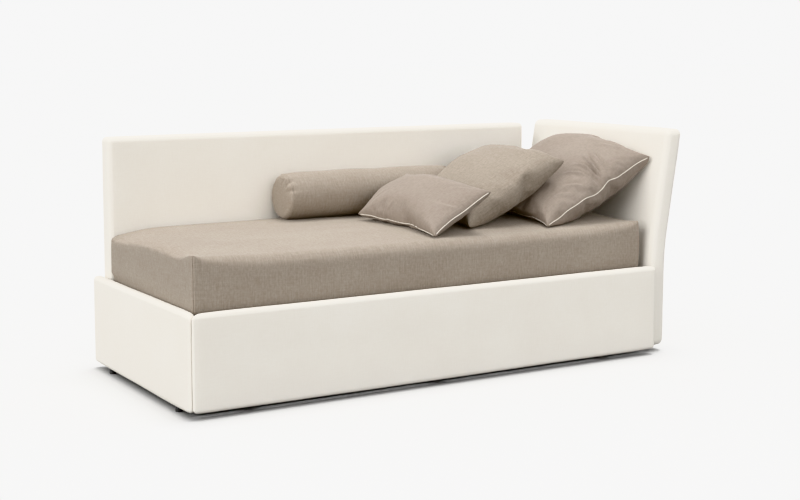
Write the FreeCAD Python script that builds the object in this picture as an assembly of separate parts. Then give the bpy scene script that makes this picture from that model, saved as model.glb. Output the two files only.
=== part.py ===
import FreeCAD, Part
import math
import os

os.makedirs("parts", exist_ok=True)
V = FreeCAD.Vector

# ---------------------------------------------------------------- driving dimensions (mm)
# A single sofa bed: low foot panel, low front panel on a pull-out second bed,
# high back panel and a high head panel that leans outwards.
# Built from the foot panel's outer face (x 0), the front panel's face (y 0) and the floor (z 0),
# then moved so that the origin is the bottom centre of the whole.
TOTAL_Y = 982.0
PANEL_Z0 = 24.0          # underside of every panel
LOW_TOP = 369.0          # top of the foot panel and the front panel
LOW_T = 40.0             # thickness of the low panels
LOW_R = 10.0             # edge rounding of the low panels
MITRE = 2.1              # half of the corner joint's opening
FRONT_X1 = 2078.0        # right end of the front panel

BACK_X0, BACK_X1 = 44.0, 2043.0
BACK_Y0, BACK_Y1 = 895.0, 980.0
BACK_TOP = 922.0
HIGH_R = 18.0            # edge rounding of the high panels

HEAD_T = 85.0
HEAD_Y0, HEAD_Y1 = 42.0, 982.0
HEAD_X = 2165.0          # outer face of the head panel below its bend
HEAD_BEND_Z = 320.0
HEAD_LEAN = 9.2          # degrees
HEAD_BEND_R = 1220.0
HEAD_TOP = 932.0

CORE_LOW = 18.0          # board inside the low panels
CORE_HIGH = 45.0         # frame inside the high panels
PAD_TOP = 18.0           # padding above the boards

FOOT_D, FOOT_STUD_D = 26.0, 8.0

RAIL_Z0, RAIL_Z1 = 291.0, 331.0   # main bed rails
RAIL_W, RAIL_WALL = 25.0, 2.0
MAIN_X0, MAIN_X1 = 44.0, 2076.0
MAIN_FRONT_Y0 = 80.0
MAIN_BACK_Y1 = 891.0
SLAT_W, SLAT_T = 68.0, 12.0
SLAT_COUNT = 14

MATT_X0, MATT_X1 = 44.0, 2048.0   # 2000 x 800 mattress in its cover
MATT_Y0, MATT_Y1 = 76.0, 886.0
MATT_Z0, MATT_TOP = 347.0, 566.0
MATT_END_R = 28.0

BOLSTER_R = 97.0
BOLSTER_X0, BOLSTER_X1 = 740.0, 1560.0
BOLSTER_Y, BOLSTER_Z = 795.5, 664.0

T_X0, T_X1 = 64.0, 2052.0         # pull-out bed frame
T_Y0, T_Y1 = 62.0, 846.0
T_RAIL_Z0, T_RAIL_Z1 = 105.0, 135.0
T_SLAT_T = 10.0
T_SLAT_COUNT = 13
T_MATT = (76.0, 2040.0, 66.0, 850.0, 150.0, 276.0)
WHEEL_R, WHEEL_W, HUB_R = 38.0, 22.0, 29.0
AXLE_R = 4.0
AXLE_CLEAR = 0.05
CASTOR_Y = (150.0, 756.0)

# outermost point: the rounded top edge of the leaning head panel
_l = math.radians(HEAD_LEAN)
HEAD_TOP_X = (HEAD_X + HEAD_BEND_R * (1 - math.cos(_l))
              + (HEAD_TOP - HEAD_BEND_Z - HEAD_BEND_R * math.sin(_l)) * math.tan(_l))
TOTAL_X = HEAD_TOP_X - HIGH_R * math.tan(_l) - HIGH_R / math.cos(_l) + HIGH_R
XC, YC = TOTAL_X / 2.0, TOTAL_Y / 2.0


# ---------------------------------------------------------------- helpers
def box(x0, x1, y0, y1, z0, z1):
    return Part.makeBox(x1 - x0, y1 - y0, z1 - z0, V(x0, y0, z0))


def cyl(r, a, b):
    a, b = V(*a), V(*b)
    d = b.sub(a)
    return Part.makeCylinder(r, d.Length, a, d)


def save(name, solids):
    if not isinstance(solids, (list, tuple)):
        solids = [solids]
    flat = []
    for s in solids:
        flat.extend(s.Solids)
    out = flat[0] if len(flat) == 1 else Part.makeCompound(flat)
    out = out.copy()
    out.translate(V(-XC, -YC, 0))
    out.exportStep("parts/%s.step" % name)


def prism(points, z0, z1):
    pts = [V(x, y, z0) for x, y in points]
    face = Part.Face(Part.makePolygon(pts + pts[:1]))
    return face.extrude(V(0, 0, z1 - z0))


def rounded(solid, r, keep=None):
    edges = [e for e in solid.Edges if keep is None or keep(e)]
    return solid.makeFillet(r, edges)


def cut_all(solid, tools):
    for t in tools:
        solid = solid.cut(t)
    return solid


def tube_x(x0, x1, y0, y1, z0, z1, wall):
    return box(x0, x1, y0, y1, z0, z1).cut(box(x0 - 1, x1 + 1, y0 + wall, y1 - wall, z0 + wall, z1 - wall))


def tube_y(x0, x1, y0, y1, z0, z1, wall):
    return box(x0, x1, y0, y1, z0, z1).cut(box(x0 + wall, x1 - wall, y0 - 1, y1 + 1, z0 + wall, z1 - wall))


# ---------------------------------------------------------------- feet
FEET = [(22.0, 160.0), (22.0, 832.0),
        (250.0, 937.5), (1040.0, 937.5), (1830.0, 937.5),
        (HEAD_X - HEAD_T / 2, 120.0), (HEAD_X - HEAD_T / 2, 904.0)]
feet, studs, stud_holes = [], [], []
for fx, fy in FEET:
    hole = cyl(FOOT_STUD_D / 2 + 0.15, (fx, fy, 9), (fx, fy, 70))
    feet.append(rounded(cyl(FOOT_D / 2, (fx, fy, 0), (fx, fy, PANEL_Z0)), 2.0,
                        lambda e: e.BoundBox.ZMax < 1.0 and e.Closed).cut(hole))
    studs.append(cyl(FOOT_STUD_D / 2, (fx, fy, 9), (fx, fy, 68)))
    stud_holes.append(hole)

# ---------------------------------------------------------------- brackets that carry the main bed
BR_T = 4.0


def bracket_x(x_face, sign, y, z0=225.0):
    # upright leg on a panel face at x_face, flat leg under a rail; sign +1 points to +X
    xa, xb = sorted((x_face, x_face + sign * BR_T))
    xe = x_face + sign * 42.0
    xc, xd = sorted((x_face, xe))
    up = box(xa, xb, y - 35, y + 35, z0, RAIL_Z1)
    flat = box(xc, xd, y - 35, y + 35, RAIL_Z0 - BR_T, RAIL_Z0)
    return up.fuse(flat).removeSplitter()


def bracket_y(y_face, x, z0=225.0):
    up = box(x - 35, x + 35, y_face - BR_T, y_face, z0, RAIL_Z1)
    flat = box(x - 35, x + 35, y_face - 42.0, y_face, RAIL_Z0 - BR_T, RAIL_Z0)
    return up.fuse(flat).removeSplitter()


def bolt(p, d, length, head=4.0):
    # button-headed bolt: p is the point under the head, d the driving direction
    p, d = V(*p), V(*d)
    shank = Part.makeCylinder(3.0, length, p, d)
    top = Part.makeCylinder(6.0, head, p, d * -1)
    return shank.fuse(top).removeSplitter()


def bolt_hole(p, d, length):
    p, d = V(*p), V(*d)
    return Part.makeCylinder(3.2, length + 1.5, p, d)


HEAD_INNER = HEAD_X - HEAD_T
FOOT_BR_Y = (190.0, 760.0)
BACK_BR_X = (420.0, 1180.0, 1700.0)
end_brackets, back_brackets, bolts, holes = [], [], [], []
for y in FOOT_BR_Y:
    for x_face, sign in ((LOW_T, 1), (HEAD_INNER, -1)):
        b = bracket_x(x_face, sign, y)
        for dy in (-20.0, 20.0):
            p, d = (x_face + sign * BR_T, y + dy, 250.0), (-sign, 0, 0)
            ln = 28.0 if sign > 0 else 45.0
            bolts.append(bolt(p, d, ln))
            h = bolt_hole(p, d, ln)
            holes.append(h)
            b = b.cut(h)
        end_brackets.append(b)
for x in BACK_BR_X:
    b = bracket_y(BACK_Y0, x)
    for dx in (-20.0, 20.0):
        p, d = (x + dx, BACK_Y0 - BR_T, 250.0), (0, 1, 0)
        bolts.append(bolt(p, d, 45.0))
        h = bolt_hole(p, d, 45.0)
        holes.append(h)
        b = b.cut(h)
    back_brackets.append(b)
# bolts from below, through each flat leg into its rail
rail_holes = []
for y in FOOT_BR_Y:
    for x in (MAIN_X0 + RAIL_W / 2, MAIN_X1 - RAIL_W / 2):
        p, d = (x, y, RAIL_Z0 - BR_T), (0, 0, 1)
        bolts.append(bolt(p, d, 14.0, 3.0))
        rail_holes.append(bolt_hole(p, d, 14.0))
for x in BACK_BR_X:
    p, d = (x, MAIN_BACK_Y1 - RAIL_W / 2, RAIL_Z0 - BR_T), (0, 0, 1)
    bolts.append(bolt(p, d, 14.0, 3.0))
    rail_holes.append(bolt_hole(p, d, 14.0))
end_brackets = [cut_all(b, rail_holes) for b in end_brackets]
back_brackets = [cut_all(b, rail_holes) for b in back_brackets]

# ---------------------------------------------------------------- foot panel
c0 = (LOW_T - CORE_LOW) / 2
foot_outer = prism([(0, MITRE), (LOW_T, LOW_T + MITRE), (LOW_T, TOTAL_Y), (0, TOTAL_Y)], PANEL_Z0, LOW_TOP)
foot_outer = rounded(foot_outer, LOW_R)
foot_core = box(c0, LOW_T - c0, 60, TOTAL_Y - 20, PANEL_Z0, LOW_TOP - PAD_TOP)
save("foot_panel_cover", cut_all(foot_outer.cut(foot_core), stud_holes + holes))
save("foot_panel_core", cut_all(foot_core, stud_holes + holes))

# ---------------------------------------------------------------- front panel
front_outer = prism([(MITRE, 0), (FRONT_X1, 0), (FRONT_X1, LOW_T), (LOW_T + MITRE, LOW_T)], PANEL_Z0, LOW_TOP)
front_outer = rounded(front_outer, LOW_R)
front_core = box(60, FRONT_X1 - 20, c0, LOW_T - c0, PANEL_Z0, LOW_TOP - PAD_TOP)

# brackets between the front panel and the pull-out frame
T_BR_X = (260.0, 1054.0, 1850.0)
t_brackets, t_bolts, t_holes = [], [], []
for x in T_BR_X:
    up = box(x - 30, x + 30, LOW_T, LOW_T + BR_T, 60, T_RAIL_Z1)
    flat = box(x - 30, x + 30, LOW_T, T_Y0 + RAIL_W, T_RAIL_Z0 - BR_T, T_RAIL_Z0)
    b = up.fuse(flat).removeSplitter()
    for dx in (-18.0, 18.0):
        p, d = (x + dx, LOW_T + BR_T, 78.0), (0, -1, 0)
        t_bolts.append(bolt(p, d, 28.0))
        h = bolt_hole(p, d, 28.0)
        t_holes.append(h)
        b = b.cut(h)
    p, d = (x, T_Y0 + RAIL_W / 2, T_RAIL_Z0 - BR_T), (0, 0, 1)
    t_bolts.append(bolt(p, d, 12.0, 3.0))
    h = bolt_hole(p, d, 12.0)
    t_holes.append(h)
    b = b.cut(h)
    t_brackets.append(b)
save("front_panel_cover", cut_all(front_outer.cut(front_core), t_holes))
save("front_panel_core", cut_all(front_core, t_holes))
save("front_panel_brackets", t_brackets)

# ---------------------------------------------------------------- back panel
back_outer = rounded(box(BACK_X0, BACK_X1, BACK_Y0, BACK_Y1, PANEL_Z0, BACK_TOP), HIGH_R)
b0 = (BACK_Y1 - BACK_Y0 - CORE_HIGH) / 2
back_core = box(BACK_X0 + 22, BACK_X1 - 22, BACK_Y0 + b0, BACK_Y1 - b0, PANEL_Z0, BACK_TOP - 22)
save("back_panel_cover", cut_all(back_outer.cut(back_core), stud_holes + holes))
save("back_panel_core", cut_all(back_core, stud_holes + holes))


# ---------------------------------------------------------------- head panel (leans outwards)
def head_profile(inset_x, z0, z1, y0, y1):
    lean = math.radians(HEAD_LEAN)
    zb = HEAD_BEND_Z + HEAD_BEND_R * math.sin(lean)

    def side(x):
        mid = lean / 2
        bend0 = V(x, y0, HEAD_BEND_Z)
        bendm = V(x + HEAD_BEND_R * (1 - math.cos(mid)), y0, HEAD_BEND_Z + HEAD_BEND_R * math.sin(mid))
        bend1 = V(x + HEAD_BEND_R * (1 - math.cos(lean)), y0, zb)
        top = V(bend1.x + (z1 - zb) * math.tan(lean), y0, z1)
        return V(x, y0, z0), bend0, bendm, bend1, top

    o = side(HEAD_X - inset_x)
    i = side(HEAD_X - HEAD_T + inset_x)
    line = lambda a, b: Part.LineSegment(a, b).toShape()
    arc = lambda a, b, c: Part.Arc(a, b, c).toShape()
    wire = Part.Wire([line(i[0], i[1]), arc(i[1], i[2], i[3]), line(i[3], i[4]), line(i[4], o[4]),
                      line(o[4], o[3]), arc(o[3], o[2], o[1]), line(o[1], o[0]), line(o[0], i[0])])
    return Part.Face(wire).extrude(V(0, y1 - y0, 0))


head_outer = head_profile(0, PANEL_Z0, HEAD_TOP, HEAD_Y0, HEAD_Y1)
head_outer = rounded(head_outer, HIGH_R,
                     lambda e: not (abs(e.Vertexes[0].Z - e.Vertexes[-1].Z) < 1e-6
                                    and PANEL_Z0 + 1 < e.Vertexes[0].Z < HEAD_TOP - 1))
head_core = head_profile((HEAD_T - CORE_HIGH) / 2, PANEL_Z0, HEAD_TOP - 22, HEAD_Y0 + 22, HEAD_Y1 - 22)
save("head_panel_cover", cut_all(head_outer.cut(head_core), stud_holes + holes))
save("head_panel_core", cut_all(head_core, stud_holes + holes))

save("glide_feet", feet)
save("glide_foot_studs", studs)
save("end_brackets", end_brackets)
save("back_brackets", back_brackets)
save("bracket_bolts", bolts)

# ---------------------------------------------------------------- main bed frame
fy0, fy1 = MAIN_FRONT_Y0, MAIN_FRONT_Y0 + RAIL_W
by0, by1 = MAIN_BACK_Y1 - RAIL_W, MAIN_BACK_Y1
save("main_front_rail", cut_all(tube_x(MAIN_X0, MAIN_X1, fy0, fy1, RAIL_Z0, RAIL_Z1, RAIL_WALL), rail_holes))
save("main_back_rail", cut_all(tube_x(MAIN_X0, MAIN_X1, by0, by1, RAIL_Z0, RAIL_Z1, RAIL_WALL), rail_holes))
mid_x = (MAIN_X0 + MAIN_X1) / 2
for name, x0 in (("main_foot_rail", MAIN_X0), ("main_centre_rail", mid_x - RAIL_W / 2), ("main_head_rail", MAIN_X1 - RAIL_W)):
    save(name, cut_all(tube_y(x0, x0 + RAIL_W, fy1, by0, RAIL_Z0, RAIL_Z1, RAIL_WALL), rail_holes))


def slat_row(count, x0, x1, y0, y1, z, width, thick, cap_y, cap_over):
    # slats across the bed and the plastic caps that hold their ends on the rails
    slats, caps = [], []
    pitch = (x1 - x0 - width) / (count - 1)
    for i in range(count):
        xs = x0 + i * pitch
        slats.append(box(xs, xs + width, y0, y1, z, z + thick))
        for ya, yb in ((y0 - 5, y0 - 5 + cap_y), (y1 + 5 - cap_y, y1 + 5)):
            cap = box(xs - 4, xs + width + 4, ya, yb, z - 2.0, z + thick + cap_over)
            caps.append(cap.cut(box(xs - 0.2, xs + width + 0.2, y0 - 0.2, y1 + 0.2, z - 0.1, z + thick + 0.1)))
    return slats, caps


slats, caps = slat_row(SLAT_COUNT, MAIN_X0 + 50, MAIN_X1 - 50, fy0 + 8, by1 - 12, RAIL_Z1 + 2.0, SLAT_W, SLAT_T, 34.0, 1.5)
save("main_slats", slats)
save("main_slat_caps", caps)


# ---------------------------------------------------------------- mattress (crowned, lower along the front edge)
def mattress(d):
    x0, x1 = MATT_X0 + d, MATT_X1 - d
    slope = math.radians(6.0)
    r1, r2, r3 = 45.0 - d, 2700.0 - d, 35.0 - d
    c1 = (MATT_Y0 + 45.0, MATT_TOP - 69.0)
    s1 = (c1[0] - r1 * math.sin(slope), c1[1] + r1 * math.cos(slope))
    run = 90.0
    s2 = (s1[0] + run, s1[1] + run * math.tan(slope))
    c2 = (s2[0] + r2 * math.sin(slope), s2[1] - r2 * math.cos(slope))
    s3 = (c2[0], c2[1] + r2)
    sm = (c2[0] - r2 * math.sin(slope / 2), c2[1] + r2 * math.cos(slope / 2))
    c3 = (MATT_Y1 - 35.0, s3[1] - r3)
    y0, y1, z0 = MATT_Y0 + d, MATT_Y1 - d, MATT_Z0 + d
    p = lambda t: V(x0, t[0], t[1])
    line = lambda a, b: Part.LineSegment(p(a), p(b)).toShape()
    arc = lambda a, b, c: Part.Arc(p(a), p(b), p(c)).toShape()
    k = math.sqrt(0.5)
    e1 = (y0, c1[1])
    m1a = (math.pi / 2 - slope) / 2
    m1 = (c1[0] - r1 * math.cos(m1a), c1[1] + r1 * math.sin(m1a))
    e3 = (c3[0], c3[1] + r3)
    e4 = (y1, c3[1])
    m3 = (c3[0] + r3 * k, c3[1] + r3 * k)
    wire = Part.Wire([line((y0, z0), e1), arc(e1, m1, s1), line(s1, s2), arc(s2, sm, s3), line(s3, e3),
                      arc(e3, m3, e4), line(e4, (y1, z0)), line((y1, z0), (y0, z0))])
    solid = Part.Face(wire).extrude(V(x1 - x0, 0, 0))
    ends = [e for e in solid.Edges
            if e.BoundBox.XLength < 1e-6 and e.BoundBox.ZMax > z0 + 1e-3]
    return solid.makeFillet(MATT_END_R - d, ends)


m_outer, m_core = mattress(0.0), mattress(4.0)
save("mattress_cover", m_outer.cut(m_core))
save("mattress_core", m_core)

# ---------------------------------------------------------------- bolster
bol = rounded(cyl(BOLSTER_R, (BOLSTER_X0, BOLSTER_Y, BOLSTER_Z), (BOLSTER_X1, BOLSTER_Y, BOLSTER_Z)), 14.0,
              lambda e: e.Closed)
bol_in = rounded(cyl(BOLSTER_R - 4, (BOLSTER_X0 + 4, BOLSTER_Y, BOLSTER_Z), (BOLSTER_X1 - 4, BOLSTER_Y, BOLSTER_Z)), 10.0,
                 lambda e: e.Closed)
save("bolster_cover", bol.cut(bol_in))
save("bolster_pad", bol_in)

# ---------------------------------------------------------------- loose cushions
# Each lies in a plane: centre, yaw, tilt up towards the head panel, roll, width along the bed's depth,
# height up the slope, thickness above and below its seam.  pull_a moves its hidden lower back corner.
CUSHIONS = {
    "large_cushion": dict(c=(1886.0, 420.0, 718.0), yaw=-3.5, tilt=27.6, roll=6.2, w=566.0, h=572.0,
                          up=88.0, down=90.0, pull={"C": (-30.0, 0.0)}, piping=True, touch_y=380.0),
    "mid_cushion": dict(c=(1507.0, 490.0, 709.0), yaw=1.2, tilt=25.7, roll=4.1, w=552.0, h=554.0,
                        up=80.0, down=66.0, pull={"A": (0.0, -108.0), "C": (-30.0, 0.0), "D": (12.0, 0.0)}, piping=False,
                        touch_y=420.0),
    "small_cushion": dict(c=(1170.0, 394.0, 657.0), yaw=3.2, tilt=31.5, roll=4.8, w=532.0, h=294.0,
                          up=70.0, down=50.0, pull={"A": (0.0, -50.0)}, piping=True, touch_y=360.0),
}
BAND = 12.0


def cushion_frame(q):
    yaw, tilt, roll = (math.radians(q[k]) for k in ("yaw", "tilt", "roll"))
    v = V(-math.sin(yaw), math.cos(yaw), 0)
    u0 = V(math.cos(yaw), math.sin(yaw), 0)
    u = u0 * math.cos(tilt) + V(0, 0, 1) * math.sin(tilt)
    n = u.cross(v)
    v2 = v * math.cos(roll) + n * math.sin(roll)
    return u, v2, u.cross(v2)


def quad(q, scale, height, grow=0.0):
    u, v, n = cushion_frame(q)
    w, h = q["w"] / 2, q["h"] / 2
    pts = [(-h, w), (h, w), (h, -w), (-h, -w)]
    pulls = [q["pull"].get(k, (0.0, 0.0)) for k in "ABCD"]
    pts = [(a + p[0], b + p[1]) for (a, b), p in zip(pts, pulls)]
    cu = sum(a for a, _ in pts) / 4
    cv = sum(b for _, b in pts) / 4
    out = []
    for a, b in pts:
        a2, b2 = cu + (a - cu) * scale, cv + (b - cv) * scale
        a2 += grow if a > 0 else -grow
        b2 += grow if b > 0 else -grow
        out.append(V(*q["c"]) + u * a2 + v * b2 + n * height)
    return out


def stack(layers):
    faces = []
    poly = lambda pts: Part.Face(Part.makePolygon(pts + pts[:1]))
    faces.append(poly(layers[0]))
    faces.append(poly(layers[-1]))
    for a, b in zip(layers[:-1], layers[1:]):
        for i in range(4):
            j = (i + 1) % 4
            faces.append(poly([a[i], a[j], b[j], b[i]]))
    solid = Part.Solid(Part.Shell(faces))
    if solid.Volume < 0:
        solid.reverse()
    return solid


def above_mattress(shape, gap, touch_y):
    # each cushion lies flat where it rests, on the plane that touches the mattress's crown at touch_y
    crown_r, crown_y = 2700.0, MATT_Y0 + 135.0 + (2700.0 - 45.0) * math.sin(math.radians(6.0))
    z = MATT_TOP - (crown_y - touch_y) ** 2 / (2 * crown_r) + gap
    slope = (crown_y - touch_y) / crown_r
    at = lambda y: V(0, y, z + slope * (y - touch_y))
    pts = [at(-200.0), at(1300.0), V(0, 1300.0, 300.0), V(0, -200.0, 300.0)]
    return shape.cut(Part.Face(Part.makePolygon(pts + pts[:1])).extrude(V(2400.0, 0, 0)))


for name, q in CUSHIONS.items():
    lay = lambda s, t: [quad(q, 0.60 * s, -q["down"] + t), quad(q, 0.88 * s, -q["down"] * 0.68 + t),
                        quad(q, s, -BAND / 2 + t), quad(q, s, BAND / 2 - t),
                        quad(q, 0.88 * s, q["up"] * 0.68 - t), quad(q, 0.60 * s, q["up"] - t)]
    outer = above_mattress(stack(lay(1.0, 0.0)), 2.0, q["touch_y"])
    inner = above_mattress(stack(lay(0.97, 4.0)), 6.0, q["touch_y"])
    save(name + "_cover", outer.cut(inner))
    save(name + "_pad", inner)
    if q["piping"]:
        ring = stack([quad(q, 1.0, -3.0, 6.0), quad(q, 1.0, 3.0, 6.0)])
        ring = ring.cut(stack([quad(q, 1.0, -5.0), quad(q, 1.0, 5.0)]))
        save(name + "_piping", ring)

# ---------------------------------------------------------------- pull-out bed
ry0, ry1 = T_Y0 + RAIL_W, T_Y1 - RAIL_W
save("pull_front_rail", cut_all(tube_x(T_X0, T_X1, T_Y0, ry0, T_RAIL_Z0, T_RAIL_Z1, RAIL_WALL), t_holes))
tab_holes = []
TAB_X = (520.0, 1560.0)
tabs = []
for x in TAB_X:
    tab = box(x - 25, x + 25, T_Y1, T_Y1 + 4, T_RAIL_Z0 + 2, T_RAIL_Z1)
    tab = tab.fuse(box(x - 25, x + 25, T_Y1, T_Y1 + 12, T_RAIL_Z1 - 4, T_RAIL_Z1))
    tab = tab.fuse(box(x - 25, x + 25, T_Y1 + 8, T_Y1 + 12, T_RAIL_Z1 - 4, 306)).removeSplitter()
    for dx in (-14.0, 14.0):
        p, d = (x + dx, T_Y1 + 4, 118.0), (0, -1, 0)
        t_bolts.append(bolt(p, d, 14.0, 3.0))
        tab_holes.append(bolt_hole(p, d, 14.0))
    tabs.append(cut_all(tab, tab_holes))
save("stop_tabs", tabs)
save("pull_back_rail", cut_all(tube_x(T_X0, T_X1, ry1, T_Y1, T_RAIL_Z0, T_RAIL_Z1, RAIL_WALL), tab_holes))
t_mid = (T_X0 + T_X1) / 2
save("pull_centre_rail", tube_y(t_mid - RAIL_W / 2, t_mid + RAIL_W / 2, ry0, ry1, T_RAIL_Z0, T_RAIL_Z1, RAIL_WALL))

# fixed castors under the end rails
CASTOR_X = (T_X0 + RAIL_W / 2, T_X1 - RAIL_W / 2)
forks, axles, fork_holes = [], [], []
ids = "abcd"
spots = [(x, y) for x in CASTOR_X for y in CASTOR_Y]
for (x, y), tag in zip(spots, ids):
    top = box(x - 18, x + 18, y - 26, y + 26, T_RAIL_Z0 - 3, T_RAIL_Z0)
    fork = top
    for xa in (x - 18, x + 15):
        cheek = box(xa, xa + 3, y - 26, y + 26, 64, T_RAIL_Z0 - 3)
        cheek = cheek.fuse(box(xa, xa + 3, y - 13, y + 13, 26, 64))
        fork = fork.fuse(cheek)
    fork = fork.removeSplitter()
    bore = cyl(AXLE_R + 0.1, (x - 30, y, WHEEL_R), (x + 30, y, WHEEL_R))
    fork = fork.cut(bore)
    for dy in (-17.0, 17.0):
        p, d = (x, y + dy, T_RAIL_Z0 - 3), (0, 0, 1)
        t_bolts.append(bolt(p, d, 12.0, 3.0))
        h = bolt_hole(p, d, 12.0)
        fork_holes.append(h)
        fork = fork.cut(h)
    forks.append(fork)
    axle = cyl(AXLE_R, (x - 18, y, WHEEL_R), (x + 18, y, WHEEL_R))
    axle = axle.fuse(cyl(6.5, (x - 21, y, WHEEL_R), (x - 18, y, WHEEL_R)))
    axle = axle.fuse(cyl(6.5, (x + 18, y, WHEEL_R), (x + 21, y, WHEEL_R))).removeSplitter()
    axles.append(axle)
    hub = cyl(HUB_R, (x - WHEEL_W / 2, y, WHEEL_R), (x + WHEEL_W / 2, y, WHEEL_R))
    hub = hub.fuse(cyl(9.0, (x - 14, y, WHEEL_R), (x + 14, y, WHEEL_R))).removeSplitter()
    hub = hub.cut(cyl(AXLE_R + AXLE_CLEAR, (x - 30, y, WHEEL_R), (x + 30, y, WHEEL_R)))
    for side in (-1, 1):
        dish = cyl(24.0, (x + side * 6.5, y, WHEEL_R), (x + side * (WHEEL_W / 2 + 1), y, WHEEL_R))
        dish = dish.cut(cyl(9.0, (x - 30, y, WHEEL_R), (x + 30, y, WHEEL_R)))
        hub = hub.cut(dish)
    tread = cyl(WHEEL_R, (x - WHEEL_W / 2, y, WHEEL_R), (x + WHEEL_W / 2, y, WHEEL_R))
    tread = rounded(tread, 3.0, lambda e: e.Closed)
    tread = tread.cut(cyl(HUB_R, (x - 30, y, WHEEL_R), (x + 30, y, WHEEL_R)))
    save("castor_hub_" + tag, hub)
    save("castor_tread_" + tag, tread)
save("castor_forks", forks)
save("castor_axles", axles)
save("pull_foot_rail", cut_all(tube_y(T_X0, T_X0 + RAIL_W, ry0, ry1, T_RAIL_Z0, T_RAIL_Z1, RAIL_WALL), fork_holes))
save("pull_head_rail", cut_all(tube_y(T_X1 - RAIL_W, T_X1, ry0, ry1, T_RAIL_Z0, T_RAIL_Z1, RAIL_WALL), fork_holes))
save("pull_out_bolts", t_bolts)

slats, caps = slat_row(T_SLAT_COUNT, T_X0 + 45, T_X1 - 45, T_Y0 + 10, T_Y1 - 10, T_RAIL_Z1 + 2.0, 60.0, T_SLAT_T, 30.0, 1.5)
save("pull_slats", slats)
save("pull_slat_caps", caps)

x0, x1, y0, y1, z0, z1 = T_MATT
t_outer = rounded(box(*T_MATT), 22.0)
t_core = rounded(box(x0 + 4, x1 - 4, y0 + 4, y1 - 4, z0 + 4, z1 - 4), 18.0)
save("pull_mattress_cover", t_outer.cut(t_core))
save("pull_mattress_core", t_core)
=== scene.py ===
import math
import bpy
import numpy as np
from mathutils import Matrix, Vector
from mathutils.bvhtree import BVHTree


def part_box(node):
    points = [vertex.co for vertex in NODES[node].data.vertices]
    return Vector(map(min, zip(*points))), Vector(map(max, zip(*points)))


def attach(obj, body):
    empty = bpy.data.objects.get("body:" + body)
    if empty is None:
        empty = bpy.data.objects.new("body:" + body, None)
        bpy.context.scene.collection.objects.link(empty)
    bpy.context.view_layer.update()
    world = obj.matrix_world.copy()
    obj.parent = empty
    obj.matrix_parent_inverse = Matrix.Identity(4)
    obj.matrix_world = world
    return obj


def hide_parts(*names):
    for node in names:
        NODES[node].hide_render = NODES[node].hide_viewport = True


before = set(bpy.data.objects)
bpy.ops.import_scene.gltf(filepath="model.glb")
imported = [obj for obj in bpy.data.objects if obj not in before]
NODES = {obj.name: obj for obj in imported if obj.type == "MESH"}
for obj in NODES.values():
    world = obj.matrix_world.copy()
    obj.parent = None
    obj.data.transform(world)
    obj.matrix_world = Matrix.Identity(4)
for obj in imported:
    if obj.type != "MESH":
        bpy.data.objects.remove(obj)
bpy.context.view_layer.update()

# Shapes are written in metres from the foot panel's outer face (x 0), the front panel's face (y 0)
# and the floor (z 0). ORIGIN takes them into the shared frame.
ORIGIN = np.array([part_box("foot_panel_cover")[0].x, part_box("front_panel_cover")[0].y, 0.0])

scene = bpy.context.scene


# ---------------------------------------------------------------- mesh helpers
def wobble(p, wavelength, seed):
    """Smooth, repeatable unevenness from -1 to 1 at points p."""
    rng = np.random.RandomState(seed)
    out = np.zeros(len(p))
    for _ in range(7):
        d = rng.normal(size=3)
        d *= (2 * math.pi / wavelength) * rng.uniform(0.55, 1.5) / np.linalg.norm(d)
        out += np.sin(p @ d + rng.uniform(0, 2 * math.pi))
    return out / 4.2


def smooth01(t):
    t = np.clip(t, 0.0, 1.0)
    return t * t * (3 - 2 * t)


def weld(v, faces, uv):
    """Joins equal points of several grids. uv is one pair for each point before joining."""
    _, first, back = np.unique(np.round(v * 2e5).astype(np.int64), axis=0, return_index=True, return_inverse=True)
    back = back.reshape(-1)
    return v[first], [[int(back[i]) for i in f] for f in faces], [[uv[i] for i in f] for f in faces], first


def make(name, v, faces, corner_uv, material, smooth=True):
    me = bpy.data.meshes.new(name)
    keep, kept_uv = [], []
    for f, c in zip(faces, corner_uv):
        g, h = [], []
        for i, q in zip(f, c):
            if i not in g:
                g.append(i)
                h.append(q)
        if len(g) > 2:
            keep.append(g)
            kept_uv.extend(h)
    me.from_pydata([tuple(p) for p in np.asarray(v) + ORIGIN], [], keep)
    layer = me.uv_layers.new(name="weave")
    layer.data.foreach_set("uv", np.asarray(kept_uv, np.float32).ravel())
    me.polygons.foreach_set("use_smooth", [smooth] * len(me.polygons))
    me.materials.append(material)
    me.validate()
    me.update()
    ob = bpy.data.objects.new(name, me)
    scene.collection.objects.link(ob)
    return ob


def grid_faces(na, nb, start=0, flip=False):
    idx = np.arange(na * nb).reshape(na, nb) + start
    q = np.stack([idx[:-1, :-1], idx[1:, :-1], idx[1:, 1:], idx[:-1, 1:]], -1).reshape(-1, 4)
    return (q[:, ::-1] if flip else q).tolist()


def graded(a, b, r, step, nr):
    edge = r - r * np.tan(np.linspace(math.pi / 4, 0, nr + 1))
    n = max(2, int(round((b - a - 2 * r) / step)))
    mid = np.linspace(a + r, b - r, n + 1)
    return np.unique(np.round(np.concatenate([a + edge, mid, b - edge]), 7))


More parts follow.
